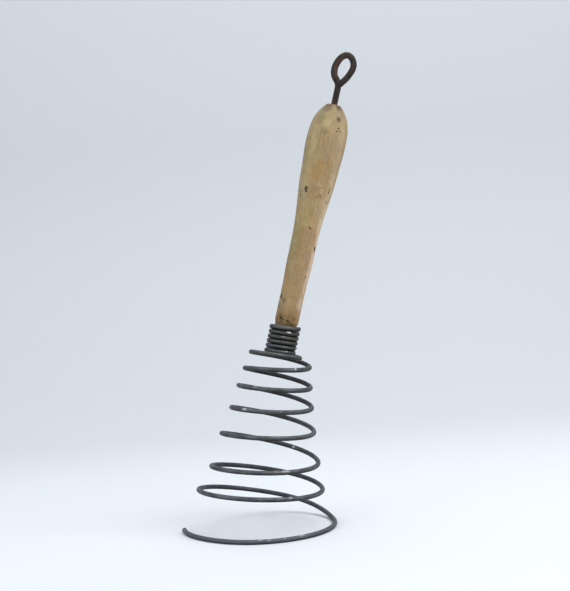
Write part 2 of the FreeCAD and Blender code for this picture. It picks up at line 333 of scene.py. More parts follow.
def steel_material():
    """Dull spring wire: grey scale, bluer on the foot turn, brown towards the collar, with
    lengthwise drawing marks, painted light and shade round the wire, a painted highlight on its
    crests and near-white painted glints."""
    m = Nodes("spring_wire_steel")
    at = m.attribute("wire", "Vector")  # length along the wire, then outward and upward in it
    _, outward, upward = m.split(at)
    turn = m.attribute("turn")
    glint_paint = m.attribute("glint_paint")
    long_noise = m.noise(at, scale=(0.035, 0.25, 0.25), detail=4, rough=0.6)
    patch = m.noise(at, scale=(0.16, 0.45, 0.45), detail=5, rough=0.62, shift=(31, 7, 3))
    draw = m.noise(at, scale=(0.10, 5.0, 5.0), detail=3, rough=0.6, shift=(3, 1, 8))
    grit = m.noise(at, scale=(2.2, 2.6, 2.6), detail=6, rough=0.7, shift=(5, 5, 5))

    scale = m.ramp(patch, [(0.25, (0.031, 0.034, 0.038)), (0.45, (0.063, 0.068, 0.075)),
                           (0.62, (0.102, 0.107, 0.115)), (0.8, (0.140, 0.144, 0.148))])
    colour = m.mix(scale, over=(0.078, 0.088, 0.110),
                   by=m.remap(turn, span=(0.0, 1.3), to=(0.75, 0.0)))
    aged = m.times(m.remap(turn, span=(5.2, 8.2)),
                   m.remap(long_noise, span=(0.36, 0.6), to=(0.25, 0.85)))
    brown = m.ramp(grit, [(0.3, (0.040, 0.036, 0.026)), (0.55, (0.074, 0.074, 0.058)),
                          (0.75, (0.115, 0.112, 0.094))])
    colour = m.mix(colour, over=brown, by=aged)
    rust = m.times(m.remap(grit, span=(0.56, 0.72)),
                   m.remap(long_noise, span=(0.5, 0.7), to=(0.0, 0.75)))
    colour = m.mix(colour, over=(0.095, 0.062, 0.036), by=rust)
    colour = m.brighten(colour, by=m.linear(draw, span=(0.3, 0.7), to=(0.72, 1.30)))

    normal_z = m.split(m.node("ShaderNodeNewGeometry")["Normal"])[2]
    brightness, inner, gap = steel_brightness(m, turn, outward, upward, normal_z, grit)
    colour = m.brighten(colour, by=brightness)
    # painted highlight on the upward-facing crests, lighter and bluish; the inner side is kept out
    # of it
    inner_guard = 1.6
    crest_highlight = m.times(m.remap(normal_z, span=(0.35, 0.95)),
                  m.remap(patch, span=(0.44, 0.66), to=(0.0, 0.36)),
                  m.inverse(m.times(inner, inner_guard)), m.inverse(gap))
    colour = m.mix(colour, over=(0.165, 0.178, 0.195), by=crest_highlight)
    # painted highlights: near-white glints
    colour = m.mix(colour, over=(0.84, 0.85, 0.86), by=glint_paint)

    # grit roughens the surface, the painted glint spots are smoother
    grit_rough, glint_smooth = 0.10, 0.22
    rough = m.plus(m.remap(patch, span=(0.3, 0.7), to=(0.56, 0.40)), m.times(grit, grit_rough))
    rough = m.minus(rough, m.times(glint_paint, glint_smooth))
    grit_height, draw_height = 0.55, 0.45
    height = m.plus(m.times(grit, grit_height), m.times(draw, draw_height))
    return m.principled(
        Base_Color=colour, Roughness=rough,
        # the painted glints are made mostly not metallic, so they show near-white
        Metallic=m.times(m.remap(patch, span=(0.3, 0.75), to=(0.55, 0.80)),
                         m.remap(glint_paint, span=(0.3, 1.0), to=(1.0, 0.25))),
        Normal=m.bump(height, strength=0.55, distance=0.00012))


def wood_textures(m):
    """The noises that the wood's layers share; x, y and z are the handle's own axes."""
    at = m.attribute("grain", "Vector")
    x, y, z = m.split(at)
    # the fibres wander sideways by these amounts
    warp = m.noise(at, scale=(0.05, 0.05, 0.014), detail=2, rough=0.5)
    warp_x, warp_y = (m.times(m.minus(warp, 0.5), amount) for amount in (7.0, 5.0))
    bend = m.node("ShaderNodeCombineXYZ", {0: warp_x, 1: warp_y})[0]
    grain = m.node("ShaderNodeVectorMath", {0: at, 1: bend}, operation="ADD")[0]
    rings = m.node("ShaderNodeTexWave", {
        "Scale": 0.115, "Distortion": 3.2, "Detail": 3.0, "Detail Scale": 0.35,
        "Detail Roughness": 0.6,
        "Vector": m.mapped(at, scale=(1, 1, 0.035), shift=(6, 11, 0)),
    }, wave_type="RINGS", rings_direction="Z", wave_profile="SIN")["Fac"]
    broad = m.noise(at, scale=(0.085, 0.085, 0.030), detail=3, rough=0.55, shift=(3, 9, 2))
    pores = m.cells(grain, scale=(1.25, 1.25, 0.20), shift=(7, 3, 5))
    return SimpleNamespace(
        at=at, x=x, y=y, z=z, rings=rings, broad=broad,
        blotch=m.noise(at, scale=(0.13, 0.13, 0.055), detail=4, rough=0.6, distortion=0.4,
                       shift=(13, 2, 21)),
        cloud=m.noise(at, scale=(0.34, 0.34, 0.26), detail=5, rough=0.62, distortion=0.6,
                      shift=(5, 17, 9)),
        fibre=m.noise(grain, scale=(1.5, 1.5, 0.045), detail=5, rough=0.62),
        fine=m.noise(grain, scale=(4.5, 4.5, 0.16), detail=4, rough=0.65, shift=(2, 2, 2)),
        pore=m.times(m.remap(pores, span=(0.16, 0.07)),
                     m.remap(broad, span=(0.40, 0.62), to=(0.15, 0.75))))


def wood_ground(m, t):
    """Pale honey with blotches, pinker on the right."""
    base = m.ramp(t.broad, [(0.28, (0.268, 0.180, 0.076)), (0.42, (0.318, 0.220, 0.101)),
                            (0.56, (0.360, 0.256, 0.126)), (0.74, (0.415, 0.312, 0.172))])
    # colour, the noise that places it, the span it comes in over, and its amount
    for colour, texture, span, amount in (
            ((0.278, 0.222, 0.088), t.blotch, (0.50, 0.64), 0.70),  # olive
            ((0.365, 0.205, 0.082), t.blotch, (0.47, 0.33), 0.70),  # ochre
            ((0.410, 0.318, 0.196), t.cloud, (0.52, 0.70), 0.55),  # pale scuffs
            ((0.262, 0.158, 0.070), t.cloud, (0.46, 0.30), 0.50)):  # handled, darker
        base = m.mix(base, over=colour, by=m.remap(texture, span=span, to=(0.0, amount)))
    pink = m.times(m.remap(t.x, span=(-2.0, 9.0), to=(0.0, 0.50)),
                   m.remap(t.broad, span=(0.35, 0.6), to=(0.4, 1.0)))
    base = m.mix(base, over=(0.450, 0.310, 0.196), by=pink)
    # the lower handle is slightly darker, below an edge that wanders by this much
    edge_wander = 9.0
    edge = m.plus(t.z, m.times(m.minus(t.cloud, 0.5), edge_wander))
    lower = m.times(m.remap(edge, span=(67.0, 62.5)),
                    m.remap(t.x, span=(-7.0, -2.0), to=(0.35, 1.0)))
    darker = m.mix(base, over=(0.925, 0.885, 0.850), by=1.0, blend="MULTIPLY")
    return m.mix(base, over=darker, by=lower)


def wood_stains_and_light(m, t, base):
    """The stains, with painted light down the right side and painted shade on the head's top, held
    in the mesh's attributes, each broken up by a noise.
    """
    ochre, olive, taupe = m.split(m.attribute("stain_a", "Vector"))
    cream, grime_and_shade, brown = m.split(m.attribute("stain_and_light_b", "Vector"))
    torn = m.remap(t.cloud, span=(0.34, 0.58), to=(0.55, 1.15))
    blotchy = m.remap(t.blotch, span=(0.36, 0.60), to=(0.60, 1.15))
    pale = m.mix((0.555, 0.425, 0.300), over=(0.500, 0.418, 0.235),
                 by=m.remap(t.z, span=(78.0, 90.0)))
    # the cream strips down the right side are painted light and the broad grime patches on the
    # head's top are painted shade
    for amount, breakup, colour in (
            (olive, blotchy, (0.380, 0.290, 0.120)), (ochre, blotchy, (0.345, 0.205, 0.071)),
            (taupe, torn, (0.295, 0.196, 0.108)), (cream, torn, pale),
            (grime_and_shade, torn, (0.225, 0.180, 0.092)), (brown, torn, (0.122, 0.068, 0.027))):
        base = m.mix(base, over=colour, by=m.math("MULTIPLY", amount, breakup, clamp=True))
    return base


def wood_figure(m, t, colour):
    """Light and dark of the fibres, rings and patches, and short dark pores."""
    patchy = m.noise(t.at, scale=(0.50, 0.50, 0.38), detail=4, rough=0.62, distortion=0.5,
                     shift=(21, 5, 14))
    value = m.times(m.linear(t.fibre, span=(0.32, 0.68), to=(0.942, 1.045)),
                    m.linear(t.fine, span=(0.3, 0.7), to=(0.93, 1.06)),
                    m.linear(t.rings, span=(0.0, 1.0), to=(1.015, 0.955)),
                    m.linear(patchy, span=(0.34, 0.66), to=(0.905, 1.085)))
    colour = m.brighten(colour, by=value)
    pore_amount = 0.42
    return m.mix(colour, over=(0.150, 0.090, 0.042), by=m.times(t.pore, pore_amount))


def wood_ends(m, t, colour):
    """Brown stain and dirt above the collar, and brown dirt round the eye's stem in the butt."""
    stain_noise = m.noise(t.at, scale=(0.30, 0.30, 0.16), detail=4, rough=0.6)
    stain = m.times(m.remap(t.z, span=(17.0, 1.5)),
                    m.remap(stain_noise, span=(0.30, 0.60), to=(0.35, 1.0)),
                    m.remap(t.x, span=(8.0, 3.5), to=(0.55, 1.0)))
    colour = m.mix(colour, over=(0.205, 0.116, 0.036), by=stain)
    dirt_noise = m.noise(t.at, scale=(0.75, 0.75, 0.55), detail=4, rough=0.65, shift=(11, 4, 6))
    dirt = m.times(m.remap(t.z, span=(9.0, 0.8), to=(0.0, 0.95)),
                   m.remap(dirt_noise, span=(0.49, 0.60)),
                   m.remap(t.x, span=(7.0, 3.0), to=(0.3, 1.0)))
    colour = m.mix(colour, over=(0.050, 0.028, 0.012), by=dirt)
    warm = m.times(m.remap(t.z, span=(6.0, 0.5), to=(0.0, 0.60)),
                   m.remap(dirt_noise, span=(0.46, 0.34)))
    colour = m.mix(colour, over=(0.300, 0.175, 0.062), by=warm)
    radius = m.math("SQRT", m.plus(m.times(t.x, t.x), m.times(t.y, t.y)))
    butt = m.times(m.remap(t.z, span=(146.5, 150.4)),
                   m.remap(radius, span=(6.5, 2.2), to=(0.0, 0.85)),
                   m.remap(t.blotch, span=(0.3, 0.6), to=(0.6, 1.0)))
    colour = m.mix(colour, over=(0.170, 0.090, 0.042), by=butt)
    rim = m.times(m.remap(t.z, span=(149.3, 150.1)),
                  m.times(m.remap(radius, span=(3.9, 4.6)), m.remap(radius, span=(6.4, 5.3))))
    rim = m.times(rim, m.remap(t.cloud, span=(0.3, 0.6), to=(0.35, 0.85)))
    colour = m.mix(colour, over=(0.150, 0.084, 0.036), by=rim)
    # the spigot
    return m.mix(colour, over=(0.165, 0.105, 0.055),
                 by=m.remap(t.z, span=(0.4, -1.5), to=(0.0, 0.7)))


def wood_marks(m, t, colour, mark):
    """Dark holes and nicks with frayed edges."""
    fray_noise = m.noise(t.at, scale=(1.7, 1.7, 1.4), detail=3, rough=0.6, shift=(3, 3, 1))
    fray = m.remap(fray_noise, span=(0.30, 0.62), to=(0.95, 1.35))
    deep = m.mix((0.110, 0.066, 0.032), over=(0.026, 0.018, 0.011),
                 by=m.remap(mark, span=(0.25, 0.80)))
    return m.mix(colour, over=deep, by=m.math("MULTIPLY", mark, fray, clamp=True))


def wood_outline(m, t, colour):
    """Painted shade at the edges of view, darker at the head's left, and painted light on the lower
    right, where the edges are brightened instead.
    """
    facing = m.facing(blend=0.5)
    # painted shade: darker towards the edges of view, more at the head's left
    dusk = m.remap(facing, span=(0.72, 1.0), to=(1.0, 0.50))
    dusk = m.mix(dusk, over=m.remap(facing, span=(0.66, 0.98), to=(1.0, 0.30)),
                 by=m.times(m.remap(t.x, span=(-2.0, -6.0)), m.remap(t.z, span=(108.0, 122.0))))
    # painted light: the lower right is brightened
    dusk = m.mix(dusk, over=1.09,
                 by=m.times(m.remap(t.x, span=(4.0, 7.0)), m.remap(t.z, span=(100.0, 80.0))))
    return m.brighten(colour, by=dusk)


def wood_material():
    """Old unfinished wood worn smooth, blotched, stained, nicked and dirty at both ends, with
    painted shade at its edges of view and on the head's top, and painted light down its right side.
    """
    m = Nodes("handle_wood_old")
    t = wood_textures(m)
    mark = m.attribute("mark")
    colour = wood_stains_and_light(m, t, wood_ground(m, t))
    colour = wood_ends(m, t, wood_figure(m, t, colour))
    colour = wood_outline(m, t, wood_marks(m, t, colour, mark))
    fine_rough = 0.12
    rough = m.plus(m.remap(t.broad, span=(0.3, 0.7), to=(0.58, 0.46)),
                   m.times(t.fine, fine_rough))
    fibre_height, fine_height, pore_depth = 0.6, 0.4, 0.5
    height = m.plus(m.times(t.fibre, fibre_height), m.times(t.fine, fine_height))
    height = m.minus(height, m.times(t.pore, pore_depth))
    return m.principled(
        Base_Color=colour, Roughness=rough,
        Specular_IOR_Level=m.remap(mark, span=(0.2, 0.8), to=(0.38, 0.04)),
        Normal=m.bump(height, strength=0.5, distance=0.00022))


def iron_material():
    """Forged rod: dark brown scale, small pits, warmer rust where the mesh asks for it, and painted
    shade at its edges of view.
    """
    m = Nodes("eye_iron_rusty")
    per_mm = 1 / MM
    at = m.mapped(m.node("ShaderNodeTexCoord")["Object"], scale=(per_mm, per_mm, per_mm))
    patch = m.noise(at, scale=(0.22, 0.22, 0.16), detail=5, rough=0.62)
    grit = m.noise(at, scale=(1.9, 1.9, 1.5), detail=6, rough=0.7, shift=(4, 2, 9))
    pits = m.cells(at, scale=(1.5, 1.5, 1.2), shift=(1, 8, 3))
    colour = m.ramp(patch, [(0.28, (0.010, 0.008, 0.008)), (0.46, (0.021, 0.016, 0.014)),
                            (0.60, (0.040, 0.026, 0.019)), (0.76, (0.070, 0.040, 0.025))])
    warm_amount = 0.70
    for over, by in (
            ((0.100, 0.049, 0.027), m.times(m.attribute("warm"), warm_amount)),
            # rust on the high grit, black in the low
            ((0.095, 0.046, 0.025), m.remap(grit, span=(0.56, 0.72), to=(0.0, 0.7))),
            ((0.010, 0.009, 0.009), m.remap(grit, span=(0.44, 0.30), to=(0.0, 0.80))),
            # painted shade: dark edges of view
            ((0.004, 0.004, 0.005),
             m.remap(m.facing(blend=0.35), span=(0.36, 0.80), to=(0.0, 0.95)))):
        colour = m.mix(colour, over=over, by=by)
    pit_depth = 0.5
    height = m.minus(grit, m.times(m.remap(pits, span=(0.28, 0.08)), pit_depth))
    return m.principled(
        Base_Color=colour, Roughness=m.remap(grit, span=(0.3, 0.7), to=(0.52, 0.74)),
        Specular_IOR_Level=0.35, Metallic=m.remap(patch, span=(0.3, 0.7), to=(0.45, 0.20)),
        Normal=m.bump(height, strength=0.75, distance=0.00025))


def floor_material():
    """Pale and matt, faintly mottled, darker up the wall behind."""
    m = Nodes("pale_floor")
    pale = (0.715, 0.735, 0.765)
    mottle, wall_shade = 0.985, 0.807  # both multiply the pale colour
    at = m.node("ShaderNodeTexCoord")["Object"]
    cloud = m.noise(at, scale=(3, 3, 3), detail=3, rough=0.5)
    wall = m.remap(m.split(at)[1], span=(0.10, 0.72))
    near = m.mix(pale, over=tuple(c * mottle for c in pale), by=m.remap(cloud, span=(0.3, 0.7)))
    colour = m.mix(near, over=tuple(c * wall_shade for c in pale), by=wall)
    return m.principled(Base_Color=colour, Roughness=0.9)


STEEL, WOOD, IRON = steel_material(), wood_material(), iron_material()

# ------------------------------------------------------------------------------------------------
# the coil: one continuous wire, cut only where its lengths meet
# ------------------------------------------------------------------------------------------------
WIRE_AROUND = 28  # points round the wire
CONE_STEPS = 240  # rings per turn
COLLAR_STEPS = 160

# half the distance that the drawn wire is thickened, less inside the collar
WIRE_EXTRA = 0.09
COLLAR_THINNING = 0.02

# rings that close an end of the wire: (share of the radius, distance out along the wire)
WIRE_END = [(0.97, 0.10), (0.90, 0.20), (0.78, 0.26), (0.50, 0.30), (0.18, 0.31)]
COLLAR_SHEAR = 0.55  # how far the collar's end slants

# painted highlights, near-white glints on the wire: (turn, half width in turns, angle round the
# wire, half width in degrees, amount)
GLINTS = [
    (4.136, 0.0095, 34, 30, 0.50), (2.656, 0.0050, 150, 34, 0.42), (2.304, 0.0130, 42, 34, 0.26),
    (6.336, 0.0050, 38, 30, 0.48), (8.318, 0.0110, 48, 20, 0.42), (1.320, 0.0045, 60, 34, 0.35),
    (12.296, 0.0240, 52, 25, 1.00), (5.160, 0.0110, 44, 26, 0.17), (5.860, 0.0050, 44, 28, 0.20),
    (3.905, 0.0045, 60, 30, 0.28), (10.80, 0.0110, 60, 20, 0.22), (0.330, 0.0050, 70, 30, 0.30),
    (0.250, 0.0028, 62, 22, 0.42), (0.268, 0.0022, 50, 22, 0.36), (0.296, 0.0024, 66, 20, 0.34),
    (11.25, 0.0160, 40, 16, 0.20),
]

# object, CAD piece it replaces, first turn, last turn
WIRE_PIECES = [
    ("wire_foot_turn", "coil_foot_turn", 0.0, 0.75),
    ("wire_lower_turns", "coil_lower_turns", 0.75, 2.25),
    ("wire_middle_turn_lower", "coil_middle_turn_lower", 2.25, 2.75),
    ("wire_middle_turn_upper", "coil_middle_turn_upper", 2.75, 3.25),
    ("wire_upper_turns", "coil_upper_turns", 3.25, 7.0),
    ("wire_collar", "coil_collar", 7.0, LAST_TURN),
]

radius_of = cubic(RADIUS_TURNS, CONE_RADII)
level_of = cubic(LEVEL_TURNS, CONE_LEVELS, flat_start=True)
centre_of = cubic(CENTRE_TURNS, CONE_CENTRES)


def wire_angle(turn):
    return math.pi + 2 * math.pi * turn


def collar_radial(turn):
    """Unit directions out from the handle's axis."""
    angle = wire_angle(turn)[:, None]
    return np.cos(angle) * ACROSS + np.sin(angle) * BACK


def cone_points(turn):
    angle = wire_angle(turn)
    level_start = LEVEL_TURNS[0]
    z = np.where(turn <= level_start, CONE_LEVELS[0], level_of(np.maximum(turn, level_start)))
    r = radius_of(turn)
    x = centre_of(turn) + r * np.cos(angle)
    return np.stack([x, NECK[1] * turn / CONE_TURNS + r * np.sin(angle), z], -1)


def collar_points(turn):
    r = COLLAR_RADIUS + COLLAR_LOOSE * rise(turn, LAST_TURN - 0.9, LAST_TURN) ** 2
    place = COLLAR_START + COLLAR_PITCH * (turn - CONE_TURNS)
    place = place + COLLAR_LIFT * rise(turn, LAST_TURN - 0.45, LAST_TURN) ** 1.6
    return NECK + place[:, None] * ALONG + r[:, None] * collar_radial(turn)


def wire_points(turn):
    """The wire's centre, the cone run smoothly into the collar."""
    turn = np.asarray(turn, float)
    collar = ease(rise(turn, 7.9, 8.1))[:, None]
    # the cone's curves end near turn 8
    cone = cone_points(np.minimum(turn, 8.2))
    return cone * (1 - collar) + collar_points(turn) * collar


def glint_paint_amount(turns, section):
    """Glints on the wire, for each ring and point of the section."""
    amount = np.zeros((len(turns), WIRE_AROUND))
    for turn, half_turns, angle, half_angle, strength in GLINTS:
        along = np.clip(1.3 - np.abs(turns - turn) / half_turns, 0, 1)[:, None]
        away = np.abs((np.degrees(section) - angle + 180) % 360 - 180)
        around = np.clip(1.3 - away / half_angle, 0, 1)[None, :]
        amount = np.maximum(amount, strength * np.clip(along * around * 1.4, 0, 1))
    return amount


def draw_wire():
    """The whole wire: its centre line, the frame along it, its skin, normals and glints."""
    turns = np.concatenate([
        np.arange(CONE_TURNS * CONE_STEPS) / CONE_STEPS,
        CONE_TURNS + np.arange(COLLAR_TURNS * COLLAR_STEPS + 1) / COLLAR_STEPS])
    line = wire_points(turns)
    radial = collar_radial(turns)
    # the collar's close turns are not quite even
    for i, turn in enumerate(turns):
        out = 0.13 * (0.35 + ripple(turn * 1.35, 5.5, 2.5))
        up = 0.07 * ripple(turn * 1.9, 1.5, 8.5)
        line[i] += rise(turn, 8.1, 8.4) * (out * radial[i] + up * ALONG)

    tangent = unit(np.gradient(line, axis=0))
    angle = wire_angle(turns)
    cone_out = np.stack([np.cos(angle), np.sin(angle), 0 * angle], -1)
    collar = rise(turns, 7.3, 8.0)[:, None]
    outward = cone_out * (1 - collar) + radial * collar
    outward = unit(outward - (outward * tangent).sum(1, keepdims=True) * tangent)
    upward = np.cross(outward, tangent)
    steps = np.linalg.norm(np.diff(line, axis=0), axis=1)
    length = np.concatenate([[0], np.cumsum(steps)])

    # slight unevenness of thickness along the wire and round it
    section = 2 * math.pi * np.arange(WIRE_AROUND) / WIRE_AROUND
    uneven = np.zeros((len(turns), WIRE_AROUND))
    for i, reach in enumerate(length):
        slow = 0.018 * ripple(reach * 0.11, 3.1, 0.4)
        for j, around in enumerate(section):
            x, y = math.cos(around) * 1.3, math.sin(around) * 1.3 + 9.0
            uneven[i, j] = slow + 0.022 * ripple(reach * 0.55, x, y)
    thinning = COLLAR_THINNING * rise(turns, 7.9, 8.15)[:, None]
    radius = (WIRE_RADIUS + uneven + WIRE_EXTRA - thinning)[:, :, None]
    cosine, sine = np.cos(section)[None, :, None], np.sin(section)[None, :, None]
    skin = line[:, None, :] + radius * (cosine * outward[:, None, :] + sine * upward[:, None, :])
    skin[:, :, 2] = np.maximum(skin[:, :, 2], 0.0)  # worn flat where it stands
    around_step = np.roll(skin, -1, axis=1) - np.roll(skin, 1, axis=1)
    normals = unit(np.cross(np.gradient(skin, axis=0), around_step))
    return SimpleNamespace(
        turns=turns, line=line, tangent=tangent, upward=upward, length=length, section=section,
        skin=skin, normals=normals, glint_paint=glint_paint_amount(turns, section))


WIRE = draw_wire()


def wire_end(i, direction, shear):
    """Rings that close the wire beyond ring i, its edge a little rounded."""
    out = WIRE.tangent[i] * direction
    spoke = WIRE.skin[i] - WIRE.line[i]
    rings = []
    for share, push in WIRE_END:
        slant = shear * (spoke @ WIRE.upward[i]) / WIRE_RADIUS * share
        ring = WIRE.line[i] + spoke * share + out * push + np.outer(slant, out)
        ring[:, 2] = np.maximum(ring[:, 2], 0.0)
        normals = unit(WIRE.normals[i] * share ** 3 + out * (1.25 - share))
        rings.append((ring, normals, i, direction * push))
    return rings


def wire_piece(name, first, last):
    """A length of the wire between two turns, its own free end closed."""
    start, stop = (int(np.argmin(np.abs(WIRE.turns - turn))) for turn in (first, last))
    # each ring: its points, normals, place in the wire and shift along it
    rings = [(WIRE.skin[i], WIRE.normals[i], i, 0.0) for i in range(start, stop + 1)]
    if first == 0.0:
        rings = wire_end(start, direction=-1.0, shear=0.0)[::-1] + rings
    if last == LAST_TURN:
        rings += wire_end(stop, direction=1.0, shear=COLLAR_SHEAR)
    points, normals, indices, shifts = zip(*rings)
    indices = list(indices)
    reach = np.repeat(WIRE.length[indices] + np.array(shifts), WIRE_AROUND)
    out, up = WIRE_RADIUS * np.cos(WIRE.section), WIRE_RADIUS * np.sin(WIRE.section)
    coords = np.stack([reach, np.tile(out, len(rings)), np.tile(up, len(rings))], -1)
    faces = loft_faces(len(rings), WIRE_AROUND, flip=True)
    ob = make_object(name, np.concatenate(points), faces, np.concatenate(normals), [
        ("turn", "FLOAT", np.repeat(WIRE.turns[indices], WIRE_AROUND)),
        ("glint_paint", "FLOAT", WIRE.glint_paint[indices]),
        ("wire", "FLOAT_VECTOR", coords)])
    ob.data.materials.append(STEEL)
    return ob


COIL_LEAN = math.radians(10.0)
COIL_AXIS = np.array([math.sin(COIL_LEAN), 0.0, math.cos(COIL_LEAN)])


def on_axis(turn):
    """The foot on the coil's leaning axis of the wire's centre at that turn, in metres."""
    reach = float(wire_points([turn])[0] @ COIL_AXIS)
    base = np.array([CONE_CENTRES[0], 0.0, 0.0])
    return tuple((base + COIL_AXIS * (reach - base @ COIL_AXIS)) * MM)


def on_wire(turn):
    """The wire's own centre at that turn, in metres."""
    return tuple(wire_points([turn])[0] * MM)


wire_objects = [wire_piece(name, first, last) for name, _, first, last in WIRE_PIECES]
for ob, (_, cad_piece, _, _) in zip(wire_objects, WIRE_PIECES):
    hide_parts(cad_piece)
foot, lower, middle_lower, middle_upper, upper, collar = wire_objects
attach(foot, "foot")
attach(collar, "handle")
on_axis(0.75)
on_axis(2.25)
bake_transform(lower)
on_wire(2.25)
on_wire(2.75)
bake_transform(middle_lower)
on_wire(2.75)
on_wire(3.25)
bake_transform(middle_upper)
on_axis(3.25)
on_axis(7.0)
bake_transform(upper)

# ------------------------------------------------------------------------------------------------
# the handle: turned, then worn and knocked about
# ------------------------------------------------------------------------------------------------
HANDLE_AROUND = 288
SPIGOT_RADIUS = 7.4
# rings of the spigot's eased lower end, of the shoulder above it and of the rounded butt with
# the hole for the eye's stem: (place, radius)
SPIGOT_END = [(-22.5, 0.4), (-22.5, 3.0), (-22.5, 6.2), (-22.45, 6.9), (-22.2, 7.25), (-21.8, 7.38)]
SHOULDER = [(-1.0, 7.42), (-0.6, 7.5), (-0.25, 7.68), (0.1, 7.84), (0.45, 7.92)]
BUTT = [
    (150.02, 5.32), (150.26, 5.06), (150.46, 4.76), (150.6, 4.42), (150.67, 4.05), (150.7, 3.6),
    (150.66, 3.0), (150.55, 2.55), (150.3, 2.3), (149.8, 2.2), (148.8, 2.15), (148.0, 1.8),
    (148.0, 0.4),
]
# waviness of the worn surface: (amount, frequency round it, frequency along it, shift)
HANDLE_WAVES = [(0.07, 1.1, 0.035, 0.0), (0.05, 3.0, 0.06, 4.0), (0.018, 9.0, 0.10, 9.0)]

# marks on the front:
# (place, offset across, half length, half width, depth, darkness, slant in degrees)
FRONT_MARKS = [
    # the knot hole, its corner torn
    (91.4, -6.7, 1.45, 1.35, 0.90, 0.66, -13), (89.4, -6.5, 1.35, 1.15, 0.72, 0.64, -14),
    (90.3, -7.4, 0.80, 0.80, 0.50, 0.64, -10),
    # nicks and splits about it and down the handle
    (85.9, -9.1, 1.50, 0.42, 0.35, 0.85, -8), (88.9, -9.6, 1.00, 0.50, 0.20, 0.38, 0),
    (92.2, 9.0, 2.10, 0.46, 0.40, 0.92, -4), (84.8, 8.9, 1.20, 0.42, 0.30, 0.80, -2),
    (88.4, 3.2, 0.55, 0.40, 0.25, 0.60, 20), (86.5, 2.6, 0.60, 0.45, 0.20, 0.50, -35),
    (87.0, 4.0, 0.40, 0.75, 0.20, 0.52, 10), (95.7, 3.0, 0.40, 1.05, 0.22, 0.50, -8),
    (94.6, 4.6, 0.50, 0.60, 0.15, 0.32, 20), (80.2, 3.6, 0.60, 0.45, 0.20, 0.45, 0),
    (74.3, 7.5, 1.10, 0.36, 0.20, 0.45, -6), (65.4, 1.8, 1.65, 0.55, 0.32, 0.66, -42),
    (52.7, 1.8, 0.70, 0.55, 0.22, 0.42, 0), (52.7, 7.9, 2.10, 1.15, 0.40, 0.92, -10),
    (49.8, 7.9, 1.20, 0.34, 0.18, 0.45, 20), (33.1, 6.1, 1.15, 0.50, 0.32, 0.78, -10),
    (31.2, 5.7, 0.50, 0.40, 0.15, 0.35, 0), (102.1, -10.5, 1.60, 0.50, 0.22, 0.46, 25),
    # three pinholes below the round bruise
    (134.1, 6.0, 0.82, 0.62, 0.28, 0.90, -10), (132.3, 5.5, 0.52, 0.80, 0.22, 0.76, 15),
    (132.5, 7.7, 0.66, 0.66, 0.22, 0.68, 0),
    # faint streaks on the head and a few lower down
    (120.0, -1.4, 2.90, 0.60, 0.10, 0.17, -8), (120.8, 9.1, 3.20, 0.45, 0.14, 0.30, -6),
    (115.2, 8.3, 2.40, 0.42, 0.12, 0.24, -6), (107.6, 5.2, 1.30, 0.34, 0.10, 0.22, 4),
    (113.0, -5.2, 1.60, 0.40, 0.10, 0.18, 0), (72.0, -3.5, 0.90, 0.32, 0.12, 0.25, 5),
    (61.0, -5.2, 0.70, 0.32, 0.12, 0.28, -12), (43.0, -1.6, 0.80, 0.30, 0.12, 0.28, 12),
    (40.2, 3.4, 0.50, 0.34, 0.12, 0.28, 0),
    # wear along the left edge near the collar and a patch of scratched dirt beside it
    (16.6, -7.2, 1.90, 1.25, 0.25, 0.72, -4), (15.3, -6.0, 0.50, 0.46, 0.18, 0.62, 0),
    (15.3, -4.4, 0.40, 0.66, 0.18, 0.60, 25), (13.9, -5.4, 0.62, 0.40, 0.18, 0.64, -30),
    (13.5, -3.6, 0.44, 0.52, 0.16, 0.55, 0), (12.4, -4.8, 0.34, 0.60, 0.14, 0.32, 15),
    (10.0, -7.5, 1.60, 0.80, 0.20, 0.60, 0),
    # dirt caught just above the collar
    (2.9, -4.4, 1.25, 1.05, 0.22, 0.74, 10), (2.0, -3.0, 0.75, 1.00, 0.20, 0.68, -20),
    (5.0, -4.9, 0.70, 0.55, 0.18, 0.50, 0), (4.2, -3.3, 0.40, 0.50, 0.15, 0.40, 40),
    (1.3, 0.2, 0.62, 1.25, 0.22, 0.78, 8), (1.0, 1.9, 0.50, 0.80, 0.20, 0.70, -20),
    (2.1, 0.9, 0.32, 0.50, 0.16, 0.45, 20), (3.2, 3.5, 0.85, 0.50, 0.20, 0.60, 35),
    (2.2, 4.6, 0.42, 0.36, 0.16, 0.45, 0), (3.8, -1.5, 0.40, 0.60, 0.16, 0.42, -10),
    (6.4, -2.6, 0.50, 0.45, 0.14, 0.34, 10), (5.6, 1.6, 0.35, 0.45, 0.12, 0.30, 0),
]
# marks on the back: the same columns, with the angle round the handle in degrees for the offset
BACK_MARKS = [
    (108.0, 62, 1.3, 0.45, 0.35, 0.65, 12), (74.0, 100, 1.6, 0.38, 0.25, 0.55, -25),
    (118.5, 128, 0.8, 0.50, 0.30, 0.60, 0), (95.0, 150, 2.0, 0.42, 0.30, 0.60, 5),
    (44.0, 82, 1.2, 0.36, 0.25, 0.50, 18), (128.0, 36, 0.9, 0.55, 0.25, 0.45, 0),
    (60.5, 168, 1.0, 0.36, 0.25, 0.50, -12), (24.0, 120, 1.4, 0.40, 0.25, 0.55, 8),
    (5.0, 70, 1.0, 0.90, 0.28, 0.70, 0), (3.0, 140, 0.8, 1.20, 0.25, 0.65, 0),
    (138.0, 96, 0.7, 0.60, 0.25, 0.45, 0), (84.0, 25, 1.1, 0.40, 0.30, 0.55, 10),
]
